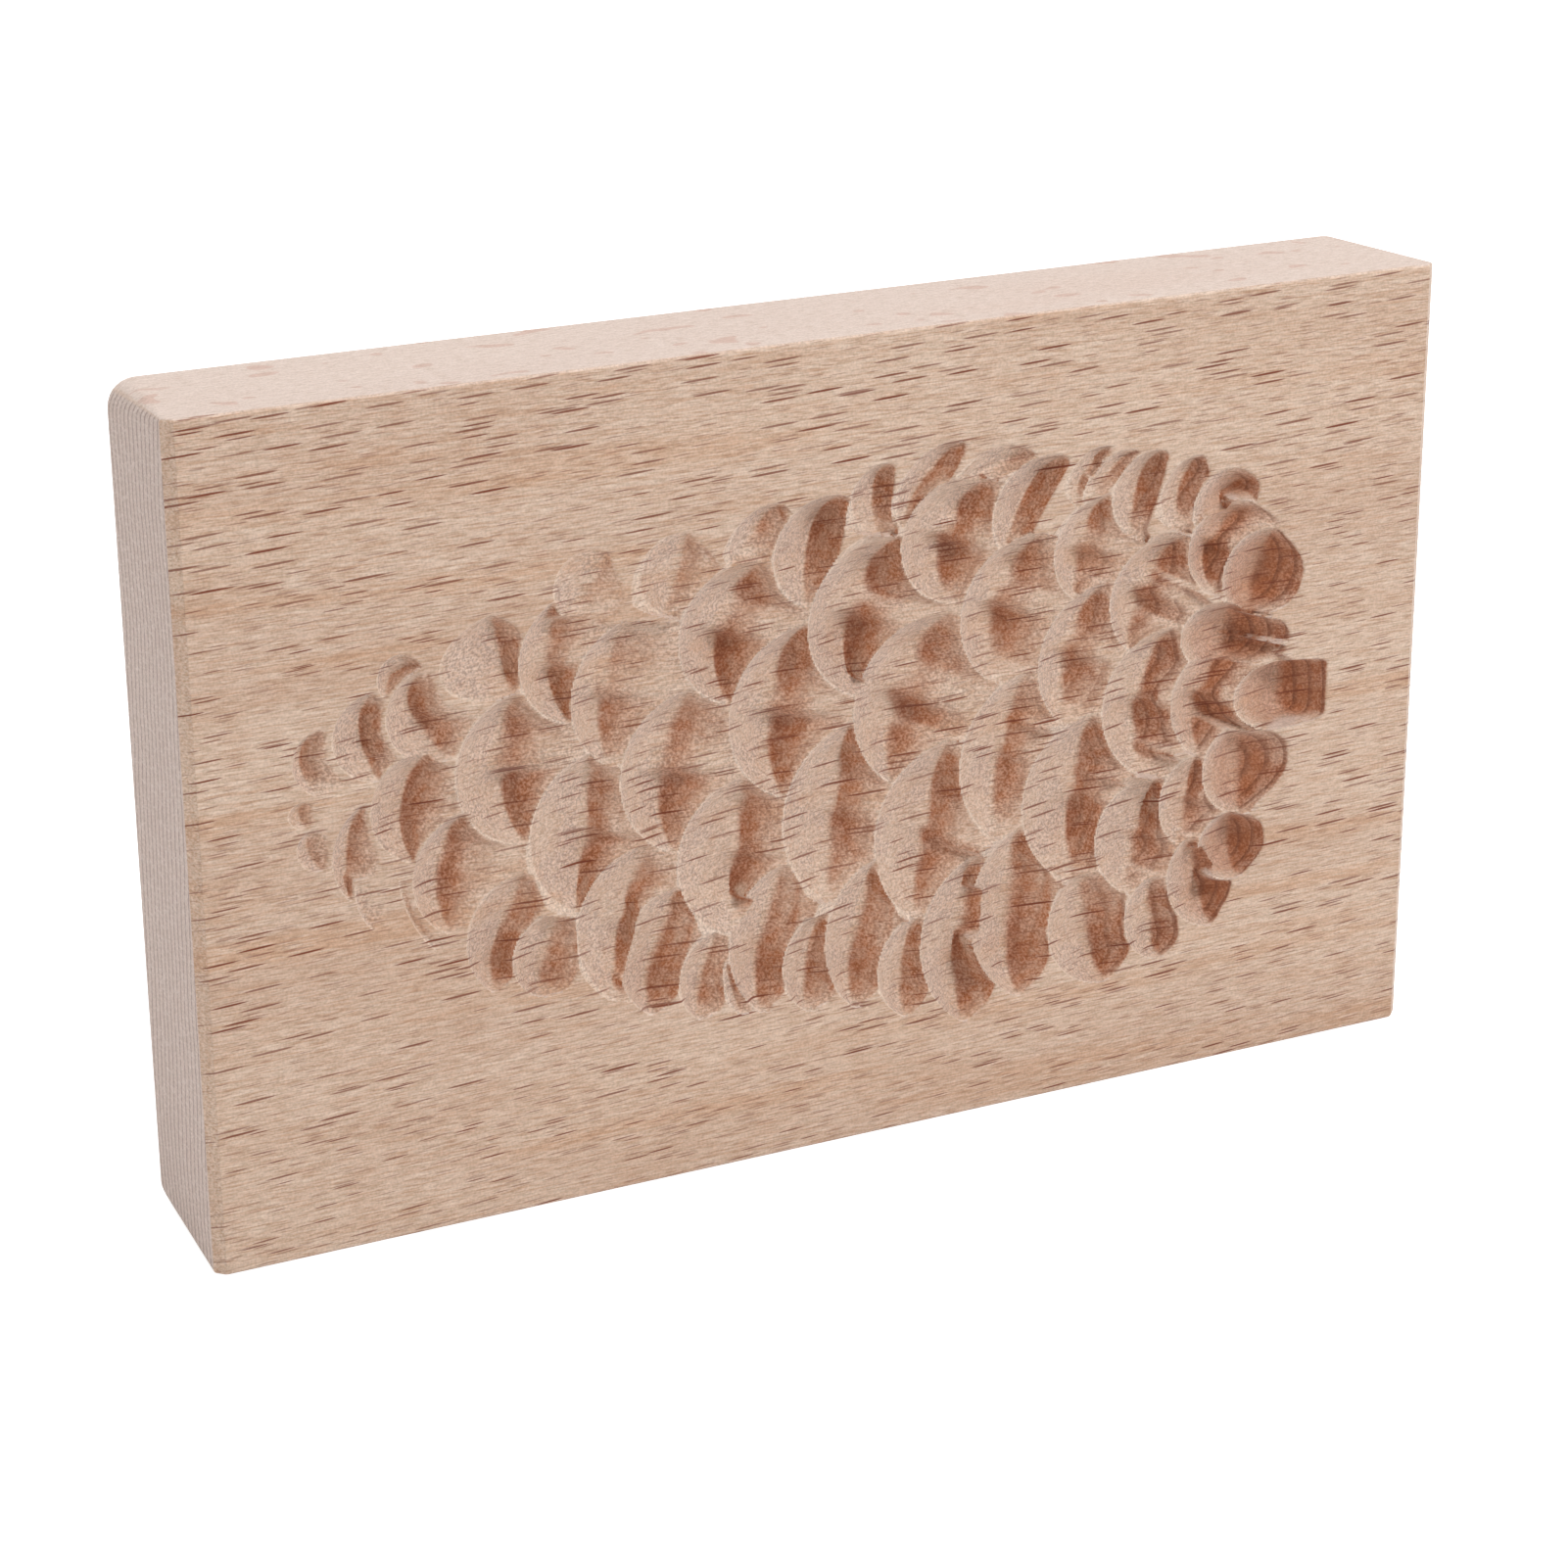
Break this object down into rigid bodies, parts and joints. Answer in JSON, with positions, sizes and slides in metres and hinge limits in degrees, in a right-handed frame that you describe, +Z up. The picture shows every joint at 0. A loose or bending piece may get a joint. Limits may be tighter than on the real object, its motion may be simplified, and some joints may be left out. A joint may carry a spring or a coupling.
{
  "type": "wooden cookie mould",
  "caption": "Rectangular beech board with a pine cone of overlapping scales carved into one face, pressed into dough to shape a relief cookie.",
  "frame": {"origin": "middle of the board's lower long edge face, on the surface it stands on", "axes": "+X along the board from the cone's tip to its stem, +Y from the carved face to the plain back, +Z up"},
  "size_m": [0.16, 0.0228, 0.099],
  "materials": {
    "beech": "bare sanded beech, unoiled, with fine ray flecks"
  },
  "bodies": {
    "root": {"mould_board": "beech"}
  },
  "joints": []
}
